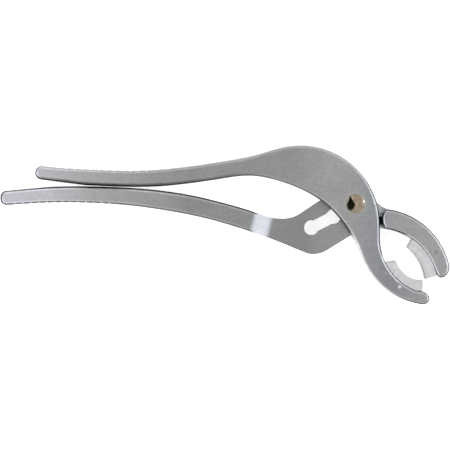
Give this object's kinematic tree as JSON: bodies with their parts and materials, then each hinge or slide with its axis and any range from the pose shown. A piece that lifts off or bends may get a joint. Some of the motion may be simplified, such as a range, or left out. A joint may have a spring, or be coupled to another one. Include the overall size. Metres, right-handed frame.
{
  "type": "slip-joint pliers",
  "caption": "Long slip-joint pliers with hooked round jaws, plastic jaw pads and a keyhole slot, for gripping and turning round plugs and connectors.",
  "frame": {"origin": "on the pivot axis, in the rear face of the pivot bolt's head, which the tool rests on", "axes": "+X from the handles to the jaws, +Y to the outer lever's handle side, +Z from the rear of the tool to its front"},
  "size_m": [0.2543, 0.0903, 0.0156],
  "materials": {
    "forged_steel": "satin nickel-chrome plate over forged steel",
    "bolt_steel": "bare staked end, satin",
    "washer_zinc": "zinc plate",
    "pin_steel": "ground",
    "pad_nylon": "natural translucent nylon"
  },
  "bodies": {
    "outer": {"outer_lever": "forged_steel", "pivot_bolt": "bolt_steel", "outer_jaw_pad": "pad_nylon", "outer_pad_pin_near": "pin_steel", "outer_pad_pin_far": "pin_steel"},
    "washer": {"pivot_washer": "washer_zinc"},
    "inner": {"inner_lever": "forged_steel", "inner_jaw_pad": "pad_nylon", "inner_pad_pin_near": "pin_steel", "inner_pad_pin_far": "pin_steel"}
  },
  "joints": [
    {"name": "pivot", "type": "hinge", "parent": "outer", "child": "washer", "pos_m": [0, 0, 0], "axis": [0, 0, 1], "range_deg": [0, 40]},
    {"name": "slip", "type": "hinge", "parent": "washer", "child": "inner", "pos_m": [-0.12169, 0.19399, 0], "axis": [0, 0, 1], "range_deg": [0, 7.01]}
  ]
}
